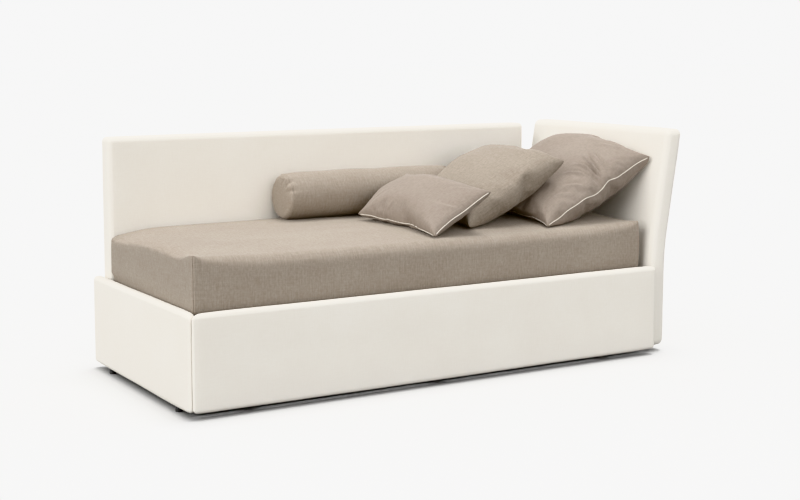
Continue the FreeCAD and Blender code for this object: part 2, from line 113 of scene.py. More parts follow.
def slab(lo, hi, r, step, nr=5):
    """A closed box with every edge rounded: points, faces, uv in metres and outward directions."""
    lo, hi = np.array(lo, float), np.array(hi, float)
    cs = [graded(lo[k], hi[k], r, step, nr) for k in range(3)]
    v, faces, uv, n = [], [], [], 0
    for k, (i, j) in enumerate(((1, 2), (2, 0), (0, 1))):
        for side in (0, 1):
            a, b = np.meshgrid(cs[i], cs[j], indexing="ij")
            p = np.zeros(a.shape + (3,))
            p[..., i], p[..., j], p[..., k] = a, b, hi[k] if side else lo[k]
            v.append(p.reshape(-1, 3))
            faces += grid_faces(*a.shape, start=n, flip=not side)
            t = np.stack((b, a) if k == 1 else (a, b), -1).reshape(-1, 2)
            uv.append(t)
            n += a.size
    v, uv = np.concatenate(v), np.concatenate(uv)
    q = np.clip(v, lo + r, hi - r)
    d = v - q
    d /= np.linalg.norm(d, axis=1)[:, None]
    v = q + d * r
    v, faces, corner_uv, first = weld(v, faces, uv)
    return v, faces, corner_uv, d[first]


def tube(path, radius, sides=8, closed=True):
    """A round tube of mesh along a line of points."""
    path = np.asarray(path, float)
    n = len(path)
    if closed:
        tan = np.roll(path, -1, 0) - np.roll(path, 1, 0)
    else:
        tan = np.gradient(path, axis=0)
    tan /= np.linalg.norm(tan, axis=1)[:, None]
    up = np.array([0.0, 0.0, 1.0])
    a = np.cross(tan, up)
    bad = np.linalg.norm(a, axis=1) < 1e-3
    a[bad] = np.cross(tan[bad], [1.0, 0, 0])
    a /= np.linalg.norm(a, axis=1)[:, None]
    b = np.cross(tan, a)
    rr = np.broadcast_to(np.asarray(radius, float), (n,))[:, None]
    th = np.linspace(0, 2 * math.pi, sides, endpoint=False)
    v = np.concatenate([path + rr * (a * math.cos(t) + b * math.sin(t)) for t in th]).reshape(sides, n, 3).transpose(1, 0, 2).reshape(-1, 3)
    length = np.concatenate([[0], np.cumsum(np.linalg.norm(np.diff(path, axis=0), axis=1))])
    faces, uvs = [], []
    r0 = float(np.mean(rr))
    for i in range(n if closed else n - 1):
        i2 = (i + 1) % n
        l0, l1 = length[i], length[i] + 0.004 if i2 == 0 else length[i2]
        for s in range(sides):
            s2 = (s + 1) % sides
            faces.append([i * sides + s, i2 * sides + s, i2 * sides + s2, i * sides + s2])
            w0, w1 = s / sides * 2 * math.pi * r0, (s + 1) / sides * 2 * math.pi * r0
            uvs.append([(l0, w0), (l1, w0), (l1, w1), (l0, w1)])
    if not closed:
        for ring, turn in ((0, 1), (n - 1, -1)):
            f = [ring * sides + s for s in range(sides)][::turn]
            faces.append(f)
            uvs.append([(length[ring], 0.0)] * sides)
    return v, faces, uvs


# ---------------------------------------------------------------- materials
class Net:
    """A short way to write a material's nodes."""

    def __init__(self, name):
        self.m = bpy.data.materials.new(name)
        self.m.use_nodes = True
        self.t = self.m.node_tree
        self.t.nodes.clear()
        self.out = self.t.nodes.new("ShaderNodeOutputMaterial")
        self.b = self.t.nodes.new("ShaderNodeBsdfPrincipled")
        self.t.links.new(self.b.outputs["BSDF"], self.out.inputs["Surface"])

    def set(self, **k):
        for name, value in k.items():
            self.b.inputs[name.replace("_", " ")].default_value = value
        return self

    def n(self, kind, inputs=None, **props):
        node = self.t.nodes.new("ShaderNode" + kind)
        for k, x in props.items():
            setattr(node, k, x)
        for k, x in (inputs or {}).items():
            s = node.inputs[k]
            if isinstance(x, bpy.types.NodeSocket):
                self.t.links.new(x, s)
            else:
                s.default_value = x
        return node

    def weave_uv(self):
        return self.n("UVMap", uv_map="weave").outputs["UV"]

    def place(self):
        return self.n("TexCoord").outputs["Object"]

    def scaled(self, vec, scale):
        return self.n("VectorMath", {0: vec, 1: scale}, operation="MULTIPLY").outputs[0]

    def noise(self, vec, scale, size=1.0, detail=2.0, rough=0.55, dims="2D"):
        return self.n("TexNoise", {"Vector": self.scaled(vec, scale), "Scale": size, "Detail": detail, "Roughness": rough},
                      noise_dimensions=dims).outputs["Fac"]

    def math(self, op, a, b=0.0, c=0.0):
        return self.n("Math", {0: a, 1: b, 2: c}, operation=op).outputs[0]

    def ramp(self, fac, stops):
        node = self.n("ValToRGB", {"Fac": fac})
        e = node.color_ramp.elements
        while len(e) > len(stops):
            e.remove(e[-1])
        while len(e) < len(stops):
            e.new(0.5)
        for x, (at, col) in zip(e, stops):
            x.position, x.color = at, (*col, 1.0)
        return node.outputs["Color"]

    def to(self, socket, name):
        self.t.links.new(socket, self.b.inputs[name])
        return self

    def bump(self, height, strength, distance):
        node = self.n("Bump", {"Height": height, "Strength": strength, "Distance": distance})
        return self.to(node.outputs["Normal"], "Normal")

    def rough(self, fac, low, high):
        return self.to(self.n("MapRange", {"Value": fac, "To Min": low, "To Max": high}).outputs[0], "Roughness")


def thread_height(net, uv, pitch):
    """Plain weave: threads that go over and under each other."""
    s = net.n("SeparateXYZ", {0: uv})
    k = 2 * math.pi / (2 * pitch)
    a = net.math("SINE", net.math("MULTIPLY", s.outputs[0], k))
    b = net.math("SINE", net.math("MULTIPLY", s.outputs[1], k))
    return net.math("MULTIPLY", a, b)


def cloth(name, dark, mid, light, pitch, streak=0.5, cross=0.25, fleck=0.35, blotch=0.25, mottle=0.2, across=0.0032, along=0.07,
          rough=(0.78, 0.92), sheen=0.15, tint=(1, 1, 1), bump=0.3, depth=0.0005, fine=0.0016, grain=0.008):
    net = Net(name)
    uv = net.weave_uv()
    warp = net.noise(uv, (1 / across, 1 / along, 0), detail=3.0)
    weft = net.noise(uv, (1 / along, 1 / across, 0), detail=3.0)
    spots = net.noise(uv, (1 / fine, 1 / fine, 0), detail=1.0)
    cloud = net.noise(uv, (4.0, 4.0, 0), detail=3.0)
    patch = net.noise(uv, (1 / grain, 0.6 / grain, 0), detail=2.0)
    f = net.math("MULTIPLY_ADD", warp, streak, 0.5 - 0.5 * (streak + cross + fleck + blotch + mottle))
    f = net.math("MULTIPLY_ADD", patch, mottle, f)
    f = net.math("MULTIPLY_ADD", weft, cross, f)
    f = net.math("MULTIPLY_ADD", spots, fleck, f)
    f = net.math("MULTIPLY_ADD", cloud, blotch, f)
    net.to(net.ramp(f, [(0.22, dark), (0.5, mid), (0.78, light)]), "Base Color")
    net.rough(spots, *rough)
    h = net.math("MULTIPLY_ADD", thread_height(net, uv, pitch), 0.5, net.math("MULTIPLY", spots, 0.6))
    h = net.math("MULTIPLY_ADD", warp, 0.5, h)
    net.bump(h, bump, depth)
    net.set(Sheen_Weight=sheen, Sheen_Roughness=0.45, Sheen_Tint=(*tint, 1.0), Specular_IOR_Level=0.2)
    return net.m


M = {}
M["ivory_upholstery"] = cloth("ivory_upholstery", (0.738, 0.698, 0.628), (0.776, 0.743, 0.684), (0.810, 0.783, 0.732), 0.0012,
                              streak=0.16, cross=0.16, fleck=0.30, blotch=0.30, mottle=0.1, across=0.004, along=0.05, sheen=0.1,
                              tint=(1.0, 0.97, 0.92), bump=0.2, depth=0.0003, fine=0.0014)
M["mattress_linen"] = cloth("mattress_linen", (0.226, 0.185, 0.145), (0.307, 0.262, 0.216), (0.398, 0.353, 0.303), 0.0020,
                            streak=0.34, cross=0.20, fleck=0.42, blotch=0.14, mottle=0.30, tint=(1.0, 0.95, 0.88), bump=0.35, depth=0.0007)
M["cushion_plain"] = cloth("cushion_plain", (0.215, 0.174, 0.142), (0.267, 0.224, 0.188), (0.322, 0.277, 0.238), 0.0012,
                           streak=0.24, cross=0.24, fleck=0.40, blotch=0.30, mottle=0.30, across=0.004, along=0.03, sheen=0.12,
                           tint=(1.0, 0.93, 0.88), bump=0.25, depth=0.0004)
M["cushion_heather"] = cloth("cushion_heather", (0.194, 0.158, 0.121), (0.270, 0.229, 0.186), (0.357, 0.315, 0.268), 0.0020,
                             streak=0.32, cross=0.26, fleck=0.45, blotch=0.16, mottle=0.35, sheen=0.15, tint=(1.0, 0.95, 0.88), bump=0.35, depth=0.0007)
M["piping"] = cloth("piping", (0.660, 0.600, 0.510), (0.770, 0.715, 0.630), (0.840, 0.795, 0.720), 0.0012,
                    streak=0.2, cross=0.4, fleck=0.4, blotch=0.2, mottle=0.1, across=0.002, along=0.01, bump=0.4, depth=0.0004, sheen=0.05)
M["pull_out_ticking"] = cloth("pull_out_ticking", (0.500, 0.445, 0.375), (0.600, 0.548, 0.475), (0.690, 0.645, 0.575), 0.0016,
                              streak=0.5, cross=0.2, fleck=0.35, blotch=0.2, mottle=0.1, across=0.006, along=0.2, sheen=0.1)


def foam():
    net = Net("foam")
    p = net.place()
    cells = net.n("TexVoronoi", {"Vector": net.scaled(p, (420.0, 420.0, 420.0)), "Scale": 1.0}).outputs["Distance"]
    tone = net.noise(p, (9.0, 9.0, 9.0), dims="3D")
    net.to(net.ramp(tone, [(0.25, (0.56, 0.49, 0.33)), (0.75, (0.68, 0.62, 0.46))]), "Base Color")
    net.rough(cells, 0.85, 0.98)
    net.bump(cells, 0.5, 0.0008)
    return net.m


def wood(name, dark, light, stretch):
    net = Net(name)
    p = net.place()
    fibre = net.noise(p, stretch, detail=5.0, rough=0.6, dims="3D")
    wide = net.noise(p, tuple(0.12 * s for s in stretch), detail=2.0, dims="3D")
    f = net.math("MULTIPLY_ADD", fibre, 0.6, net.math("MULTIPLY", wide, 0.4))
    mid = tuple(0.5 * (a + b) for a, b in zip(dark, light))
    net.to(net.ramp(f, [(0.3, dark), (0.5, mid), (0.7, light)]), "Base Color")
    net.rough(fibre, 0.42, 0.62)
    net.bump(fibre, 0.25, 0.0004)
    net.set(Specular_IOR_Level=0.35)
    return net.m


def coated(name, low, high, rough, metallic=0.0, grain=700.0, bump=0.15, depth=0.0003, specular=0.5):
    net = Net(name)
    p = net.place()
    fine = net.noise(p, (grain, grain, grain), detail=2.0, dims="3D")
    cloud = net.noise(p, (14.0, 14.0, 14.0), detail=4.0, dims="3D")
    f = net.math("MULTIPLY_ADD", fine, 0.35, net.math("MULTIPLY", cloud, 0.65))
    net.to(net.ramp(f, [(0.3, low), (0.7, high)]), "Base Color")
    net.rough(cloud, *rough)
    net.bump(fine, bump, depth)
    net.set(Metallic=metallic, Specular_IOR_Level=specular)
    return net.m


M["foam"] = foam()
M["panel_board"] = wood("panel_board", (0.40, 0.29, 0.18), (0.60, 0.47, 0.32), (60.0, 60.0, 500.0))
M["slat_wood"] = wood("slat_wood", (0.46, 0.32, 0.18), (0.70, 0.54, 0.35), (520.0, 22.0, 520.0))
M["frame_steel"] = coated("frame_steel", (0.030, 0.031, 0.033), (0.052, 0.053, 0.055), (0.38, 0.55), grain=900.0)
M["cap_plastic"] = coated("cap_plastic", (0.020, 0.020, 0.021), (0.034, 0.034, 0.035), (0.42, 0.58), grain=1300.0)
M["glide_plastic"] = coated("glide_plastic", (0.018, 0.018, 0.018), (0.030, 0.029, 0.028), (0.45, 0.6), grain=1300.0)
M["fixings"] = coated("fixings", (0.52, 0.52, 0.51), (0.66, 0.66, 0.65), (0.24, 0.4), metallic=1.0, grain=1500.0, bump=0.08)
M["castor_plastic"] = coated("castor_plastic", (0.060, 0.060, 0.062), (0.085, 0.085, 0.087), (0.4, 0.55), grain=1200.0)
M["castor_rubber"] = coated("castor_rubber", (0.090, 0.088, 0.085), (0.130, 0.127, 0.122), (0.62, 0.8), grain=1600.0, bump=0.3, specular=0.3)

BY_SLOT = {
    "panel_board": ["foot_panel_core", "front_panel_core", "back_panel_core", "head_panel_core"],
    "frame_steel": ["main_front_rail", "main_back_rail", "main_foot_rail", "main_centre_rail", "main_head_rail",
                    "pull_front_rail", "pull_back_rail", "pull_foot_rail", "pull_centre_rail", "pull_head_rail",
                    "end_brackets", "back_brackets", "front_panel_brackets", "stop_tabs"],
    "slat_wood": ["main_slats", "pull_slats"],
    "cap_plastic": ["main_slat_caps", "pull_slat_caps"],
    "glide_plastic": ["glide_feet"],
    "fixings": ["glide_foot_studs", "bracket_bolts", "pull_out_bolts", "castor_axles", "castor_forks"],
    "castor_plastic": ["castor_hub_a", "castor_hub_b", "castor_hub_c", "castor_hub_d"],
    "castor_rubber": ["castor_tread_a", "castor_tread_b", "castor_tread_c", "castor_tread_d"],
    "foam": ["mattress_core", "bolster_pad", "large_cushion_pad", "mid_cushion_pad", "small_cushion_pad", "pull_mattress_core"],
}
for slot_name, names in BY_SLOT.items():
    for n in names:
        NODES[n].data.materials.clear()
        NODES[n].data.materials.append(M[slot_name])


def done(ob, body, nodes):
    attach(ob, body)
    if nodes:
        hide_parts(*nodes)
    return ob


# ---------------------------------------------------------------- upholstered panels
MITRE = 0.0021
LOW_Z0, HIGH_Z0 = 0.0222, 0.0226


def puffed(v, d, lo, hi, amount, reach, seed, uneven=0.0008):
    """Padding stands a little proud in the middle of each face, and is never quite even."""
    lo, hi = np.array(lo), np.array(hi)
    flat = np.ones(len(v))
    for k in range(3):
        edge = np.minimum(v[:, k] - lo[k], hi[k] - v[:, k])
        near = smooth01(edge / min(reach, 0.45 * (hi[k] - lo[k])))
        flat *= np.where(np.abs(d[:, k]) > 0.7, 1.0, near)
    return v + d * (amount * flat + uneven * wobble(v, 0.32, seed) * flat)[:, None]


def panel(name, lo, hi, r, body, node, seed, warp, step=0.02):
    v, faces, uv, d = slab(lo, hi, r, step)
    v = puffed(v, d, lo, hi, 0.0015, 0.12, seed)
    v = warp(v)
    return done(make(name, v, faces, uv, M["ivory_upholstery"]), body, [node])


def soft_end(along, face, z, reach, depth, dip, z0, z1):
    """Rounds the last stretch of a panel: how far its outer face turns in, and how far its top and bottom come together."""
    t = np.clip(1 - along / reach, 0, 1)
    turn = 1 - np.sqrt(1 - np.minimum(t, 0.98) ** 2)
    inward = depth * turn * np.clip(1 - face / 0.036, 0, 1)
    mid = (z - z0) / (z1 - z0)
    close = dip * turn * (np.where(mid > 0.5, -smooth01((mid - 0.8) / 0.2), 0.6 * smooth01((0.2 - mid) / 0.2)))
    return inward, close


def mitre_foot(v):
    v = v.copy()
    inward, close = soft_end(v[:, 1], v[:, 0], v[:, 2], 0.042, 0.014, 0.010, LOW_Z0, 0.369)
    v[:, 1] += (v[:, 0] + MITRE) * smooth01((0.22 - v[:, 1]) / 0.20)
    v[:, 0] += inward
    v[:, 2] += close
    v[:, 1] = np.maximum(v[:, 1], v[:, 0] + 0.0014)
    return v


def mitre_front(v):
    v = v.copy()
    inward, close = soft_end(v[:, 0], v[:, 1], v[:, 2], 0.030, 0.006, 0.008, LOW_Z0, 0.369)
    v[:, 0] += (v[:, 1] + MITRE) * smooth01((0.22 - v[:, 0]) / 0.20)
    v[:, 1] += inward
    v[:, 2] += close
    v[:, 0] = np.maximum(v[:, 0], v[:, 1] + 0.0014)
    return v


LEAN, BEND_Z, BEND_R = math.radians(9.2), 0.320, 1.220


def lean_by(z):
    th = np.arcsin(np.clip((z - BEND_Z) / BEND_R, 0, math.sin(LEAN)))
    top = BEND_Z + BEND_R * math.sin(LEAN)
    return BEND_R * (1 - np.cos(th)) + np.maximum(z - top, 0) * math.tan(LEAN)


def lean(v):
    v = v.copy()
    v[:, 0] += lean_by(v[:, 2])
    return v


panel("foot_panel", (0.0, 0.0, LOW_Z0), (0.040, 0.982, 0.369), 0.016, "bed", "foot_panel_cover", 3, mitre_foot)
panel("front_panel", (0.0, 0.0, LOW_Z0), (2.078, 0.040, 0.369), 0.016, "pull_out_bed", "front_panel_cover", 5, mitre_front)
panel("back_panel", (0.044, 0.895, HIGH_Z0), (2.043, 0.980, 0.922), 0.020, "bed", "back_panel_cover", 7, lambda v: v)
panel("head_panel", (2.080, 0.042, HIGH_Z0), (2.165, 0.982, 0.932), 0.026, "bed", "head_panel_cover", 9, lean)


# ---------------------------------------------------------------- mattress
MX0, MX1, MY0, MY1, MZ0 = 0.045, 2.047, 0.077, 0.885, 0.3475


def mattress_top(x, y):
    z = np.interp(y, [0.076, 0.120, 0.206, 0.350, 0.4885, 0.885], [0.5400, 0.5428, 0.5515, 0.5622, 0.5655, 0.5655])
    return z


def mattress():
    def samples(a, b, ra, rb, rv, step):
        arc = lambda r: r * (1 - np.cos(np.linspace(0, math.pi / 2, 8)))
        cor = rv - rv * np.tan(np.linspace(math.pi / 4, 0, 6))
        tight = np.array([0.0015, 0.003, 0.0045, 0.006, 0.008])
        n = int(round((b - a - ra - rb) / step))
        s = np.concatenate([a + arc(ra), a + cor, a + tight, np.linspace(a + ra, b - rb, n + 1), b - arc(rb), b - cor, b - tight])
        s = np.sort(s)
        keep = [s[0]]
        for q in s[1:]:
            if q - keep[-1] > 0.0012:
                keep.append(q)
        keep[-1] = b
        return np.array(keep)

    r_foot, r_end, r_front, r_back, r_v = 0.070, 0.034, 0.040, 0.035, 0.027
    r_seam = 0.010
    xs = samples(MX0, MX1, r_foot, r_end, r_v, 0.016)
    ys = samples(MY0, MY1, r_front, r_back, r_v, 0.016)

    def drop(d, r):
        c = np.clip(1 - d / r, 0, 1)
        return r * (1 - np.sqrt(1 - c * c))

    def top_z(x, y):
        z = mattress_top(x, y) + 0.014 * np.exp(-((x - MX0) / 0.20) ** 2 - ((y - MY0) / 0.14) ** 2)
        z = z - 0.020 * np.exp(-((x - MX0) / 0.11) ** 2) * smooth01((y - 0.50) / 0.36)
        z = z + 0.013 * np.exp(-((MX1 - x) / 0.20) ** 2 - ((y - MY0) / 0.12) ** 2)
        crisp = r_front - 0.014 * np.exp(-((x - MX0) / 0.15) ** 2) - 0.010 * np.exp(-((MX1 - x) / 0.15) ** 2)
        dz = np.maximum.reduce([0.44 * drop(x - MX0, r_foot), drop(MX1 - x, r_end), drop(y - MY0, crisp), drop(MY1 - y, r_back)])
        for cx, cy, rise in ((MX0, MY0, 1.0), (MX1, MY0, 0.7), (MX0, MY1, 0.25), (MX1, MY1, 0.35)):
            back = 0.085 if (cx, cy) == (MX0, MY0) else 0.032
            near = np.exp(-((x - cx) / 0.032) ** 2 - ((y - cy) / back) ** 2)
            dz = dz * (1 - 0.80 * rise * near)
            z = z + 0.012 * rise * near
        return z - dz

    def low_z(x, y):
        r = 0.018
        e = np.minimum(np.minimum(x - MX0, MX1 - x), np.minimum(y - MY0, MY1 - y))
        return MZ0 + drop(e, r)

    parts, faces, uv, n = [], [], [], 0
    kind = []
    gx, gy = np.meshgrid(xs, ys, indexing="ij")
    for low in (False, True):
        z = low_z(gx, gy) if low else top_z(gx, gy)
        parts.append(np.stack([gx, gy, z], -1).reshape(-1, 3))
        faces += grid_faces(*gx.shape, start=n, flip=low)
        uv.append(np.stack([gx, gy], -1).reshape(-1, 2))
        kind.append(np.full(gx.size, 1 if low else 0))
        n += gx.size
    rows = np.linspace(0, 1, 11)
    for fixed, along, axis, flip in ((MY0, xs, 0, False), (MY1, xs, 0, True), (MX0, ys, 1, True), (MX1, ys, 1, False)):
        a, t = np.meshgrid(along, rows, indexing="ij")
        x, y = (a, np.full_like(a, fixed)) if axis == 0 else (np.full_like(a, fixed), a)
        z = low_z(x, y) * (1 - t) + top_z(x, y) * t
        parts.append(np.stack([x, y, z], -1).reshape(-1, 3))
        faces += grid_faces(*a.shape, start=n, flip=flip)
        uv.append(np.stack([a + 0.31, z], -1).reshape(-1, 2))
        kind.append(np.full(a.size, 2))
        n += a.size
    v, uv = np.concatenate(parts), np.concatenate(uv)
    v, faces, corner_uv, first = weld(v, faces, uv)
    # corners of the plan are round
    square = v.copy()
    for cx, sx in ((MX0, 1), (MX1, -1)):
        for cy, sy in ((MY0, 1), (MY1, -1)):
            r = r_seam if cy == MY0 else r_v
            p = r - sx * (square[:, 0] - cx)
            q = r - sy * (square[:, 1] - cy)
            sel = (p > 1e-9) & (q > 1e-9)
            k = np.maximum(p, q) / np.hypot(p, q)
            # the sewn corner: a narrow pinch at its middle
            pinch = np.exp(-((p - q) / 0.0026) ** 2) * (0.0042 if cy == MY0 else 0.0016)
            k = k - pinch / np.hypot(p, q).clip(1e-6)
            v[sel, 0] = cx + sx * (r - (p * k)[sel])
            v[sel, 1] = cy + sy * (r - (q * k)[sel])
    # sides swell a little between top and bottom, and the cover is never quite flat
    side = np.zeros((len(v), 3))
    level = np.clip((v[:, 2] - MZ0) / 0.20, 0, 1)
    belly = np.sin(math.pi * level) ** 0.8
    front = np.exp(-(square[:, 1] - MY0) / 0.012)
    back = np.exp(-(MY1 - square[:, 1]) / 0.012)
    left = np.exp(-(square[:, 0] - MX0) / 0.012)
    right = np.exp(-(MX1 - square[:, 0]) / 0.012)
    tall = smooth01((v[:, 2] - 0.38) / 0.06)
    side[:, 1] += -front * belly * (0.004 + 0.0012 * wobble(v, 0.25, 11)) + back * belly * 0.002
    side[:, 0] += -left * belly * (0.0012 + 0.001 * wobble(v, 0.2, 12)) * tall + right * belly * 0.004
    # towards the back the foot end leans out over the foot panel
    side[:, 0] -= left * 0.010 * smooth01((square[:, 1] - 0.25) / 0.5) * smooth01((v[:, 2] - 0.379) / 0.016) * (1 - 0.35 * level)
    # short upright folds beside the front corner's seam
    dx = square[:, 0] - MX0
    fold = np.exp(-dx / 0.05) * np.exp(-np.maximum(square[:, 1] - MY0, 0) / 0.012) * smooth01((v[:, 2] - 0.37) / 0.08) * smooth01(dx / 0.012)
    side[:, 1] += fold * 0.0014 * np.sin(2 * math.pi * dx / 0.017 + 5 * v[:, 2])
    # the join in the cover across the front
    join = np.exp(-((square[:, 0] - 1.015) / 0.005) ** 2)
    side[:, 1] += join * front * 0.0016
    top = smooth01((v[:, 2] - 0.53) / 0.02) * (1 - np.maximum.reduce([front, back, left, right]))
    side[:, 2] += top * (0.0010 * wobble(v, 0.35, 13) - 0.0010) - join * top * 0.0008
    return make("mattress_piece", v + side, faces, corner_uv, M["mattress_linen"])


MATTRESS = done(mattress(), "mattress", ["mattress_cover", "mattress_core"])


# ---------------------------------------------------------------- thin mattress of the pull-out bed
def pull_mattress():
    lo, hi, r = (0.077, 0.067, 0.1505), (2.039, 0.849, 0.2745), 0.022
    v, faces, uv, d = slab(lo, hi, r, 0.02)
    up = d[:, 2] > 0.5
    edge = np.minimum(np.minimum(v[:, 0] - lo[0], hi[0] - v[:, 0]), np.minimum(v[:, 1] - lo[1], hi[1] - v[:, 1]))
    inner = smooth01(edge / 0.07)
    # sewn channels across the mattress, and a softer rise between them
    n = 12
    ph = (v[:, 0] - lo[0]) / (hi[0] - lo[0]) * n
    channel = np.abs(np.sin(math.pi * ph))
    v = v.copy()
    v[:, 2] -= np.where(up, inner * 0.0075 * (1 - channel) ** 2.2, 0)
    v[:, 2] -= np.where(up, (1 - smooth01(edge / 0.15)) * 0.003, 0)
    level = np.sin(math.pi * np.clip((v[:, 2] - lo[2]) / (hi[2] - lo[2]), 0, 1))
    band = np.abs(d[:, 2]) < 0.3
    v[:, :2] += d[:, :2] * (np.where(band, 0.0008 * wobble(v, 0.2, 21) - 0.001, 0))[:, None]
    return make("pull_mattress_piece", v, faces, uv, M["pull_out_ticking"])


done(pull_mattress(), "pull_out_bed", ["pull_mattress_cover", "pull_mattress_core"])


# ---------------------------------------------------------------- bolster
BOL_R, BOL_X0, BOL_X1, BOL_Y, BOL_Z = 0.0965, 0.741, 1.559, 0.7955, 0.664


def bolster():
    seg = 96
    rim = 0.015
    prof = [(0.0, rho) for rho in np.linspace(0.0, BOL_R - rim, 12)]
    prof += [(rim * (1 - math.cos(a)), BOL_R - rim + rim * math.sin(a)) for a in np.linspace(0, math.pi / 2, 9)[1:]]
    half = (BOL_X1 - BOL_X0) / 2
    prof += [(rim + s, BOL_R) for s in (0.0015, 0.003, 0.0045, 0.006, 0.009, 0.013, 0.018, 0.024, 0.031, 0.039)]
    prof += [(s, BOL_R) for s in np.linspace(rim + 0.039, half, 25)[1:]]
    left = np.array(prof)
    full = np.concatenate([np.stack([BOL_X0 + left[:, 0], left[:, 1]], 1), np.stack([BOL_X1 - left[::-1][1:, 0], left[::-1][1:, 1]], 1)])
    run = np.concatenate([[0], np.cumsum(np.linalg.norm(np.diff(full, axis=0), axis=1))])
    th = np.linspace(0, 2 * math.pi, seg + 1)
    X, T = np.meshgrid(full[:, 0], th, indexing="ij")
    RHO = np.repeat(full[:, 1][:, None], seg + 1, 1)
    S = np.repeat(run[:, None], seg + 1, 1)
    end = np.minimum(X - BOL_X0, BOL_X1 - X)
    sign = np.where(X < (BOL_X0 + BOL_X1) / 2, 1.0, -1.0)
    on_disc = end < rim
    # plain round ends, a little domed, sewn to the sleeve; the cloth puckers unevenly at that seam
    uneven = smooth01(0.5 + 0.6 * np.sin(T - 0.4 + 0.7 * sign))
    pucker = uneven * (np.sin(13 * T + 1.7 * np.sin(2 * T) + sign) + 0.6 * np.sin(23 * T + 2.0 * sign))
    X = X + sign * on_disc * (0.003 - 0.005 * (1 - (RHO / BOL_R) ** 2) + 0.0011 * pucker * np.exp(-((RHO - 0.074) / 0.016) ** 2))
    R = RHO + 0.0013 * pucker * np.exp(-np.maximum(end - rim, 0) / 0.030) * smooth01((RHO - 0.07) / 0.02)
    R = R - 0.0018 * np.exp(-((end - rim - 0.003) / 0.0019) ** 2) * (RHO > 0.9 * BOL_R)
    # the sleeve falls away a little towards its ends
    R = R - 0.008 * np.exp(-end / 0.040) * smooth01(0.3 + np.sin(T)) * smooth01((RHO - 0.05) / 0.04)
    for at, deep in ((1.90, 0.0062), (2.36, 0.0084), (2.80, 0.0058)):
        fold = deep * np.exp(-((T - at) / 0.11) ** 2)
        X = X + sign * on_disc * fold * np.exp(-((RHO - 0.078) / 0.020) ** 2)
        R = R - 0.7 * fold * np.exp(-np.maximum(end - rim, 0) / 0.016) * smooth01((RHO - 0.075) / 0.02)
    pts = np.stack([X, BOL_Y + R * np.cos(T), BOL_Z + R * np.sin(T)], -1).reshape(-1, 3)
    soft = wobble(pts, 0.22, 31) * 0.0024
    out = np.stack([np.zeros(pts.shape[0]), np.cos(T).ravel(), np.sin(T).ravel()], 1)
    body_part = smooth01((RHO.ravel() - 0.05) / 0.04)
    pts = pts + out * ((soft - 0.001) * body_part)[:, None]
    # it lies flat on the mattress and against the back panel
    floor = 0.5675
    under = pts[:, 2] < floor + 0.004
    pts[under, 2] = floor + 0.25 * (np.clip(pts[under, 2], floor - 0.004, None) - floor + 0.004)
    pts[:, 1] = np.minimum(pts[:, 1], 0.8915)
    uv = np.stack([S, T * BOL_R], -1).reshape(-1, 2)
    faces = grid_faces(*X.shape, flip=True)
    v, faces, corner_uv, _ = weld(pts, faces, uv)
    return make("bolster_piece", v, faces, corner_uv, M["mattress_linen"])


BOLSTER = done(bolster(), "bolster", ["bolster_cover", "bolster_pad"])

# ---------------------------------------------------------------- cushions
CUSHIONS = {
    "large_cushion": dict(c=(1.886, 0.420, 0.718), yaw=-3.5, tilt=27.6, roll=6.2, w=0.566, h=0.572, up=0.104, down=0.130, full_up=0.80, full_down=0.60,
                          droop=0.034, sag=0.030, edge=0.0, pull={"C": (-0.030, 0.0)}, wide={}, seed=41, press=1.8, wave=0.0022,
                          dome=[(-0.030, 0.130, 0.150, 0.006)], lift=[(0.140, 0.142, 0.092, 0.034), (0.262, -0.185, 0.080, 0.016)],
                          kink=[(0.042, 0.012)]),
    "mid_cushion": dict(c=(1.507, 0.490, 0.709), yaw=1.2, tilt=25.7, roll=4.1, w=0.552, h=0.554, up=0.083, down=0.100, full_up=0.80, full_down=0.60,
                        droop=0.022, sag=0.012, edge=0.048, pull={"C": (-0.030, 0.0), "D": (0.012, 0.0)}, wide={"A": (0.0, -0.108)}, seed=42,
                        press=1.8, wave=0.0, dome=[], lift=[(0.262, -0.190, 0.085, 0.027)], kink=[]),
    "small_cushion": dict(c=(1.170, 0.394, 0.657), yaw=3.2, tilt=31.5, roll=4.8, w=0.532, h=0.294, up=0.079, down=0.066, full_up=0.75, full_down=0.58,
                          droop=0.022, sag=0.0, edge=0.0, pull={"A": (-0.003, -0.046), "C": (-0.010, -0.008), "D": (-0.004, 0.010)},
                          wide={"A": (-0.003, 0.010)}, seed=43, press=1.8, wave=0.0030, dome=[], lift=[], kink=[],
                          even=(-0.095, -0.075, 0.060)),
}


def cushion_frame(q):
    yaw, tilt, roll = (math.radians(q[k]) for k in ("yaw", "tilt", "roll"))
    v = np.array([-math.sin(yaw), math.cos(yaw), 0])
    u0 = np.array([math.cos(yaw), math.sin(yaw), 0])
    u = u0 * math.cos(tilt) + np.array([0, 0, 1.0]) * math.sin(tilt)
    n = np.cross(u, v)
    v2 = v * math.cos(roll) + n * math.sin(roll)
    return u, v2, np.cross(u, v2)


CELL = 0.0095


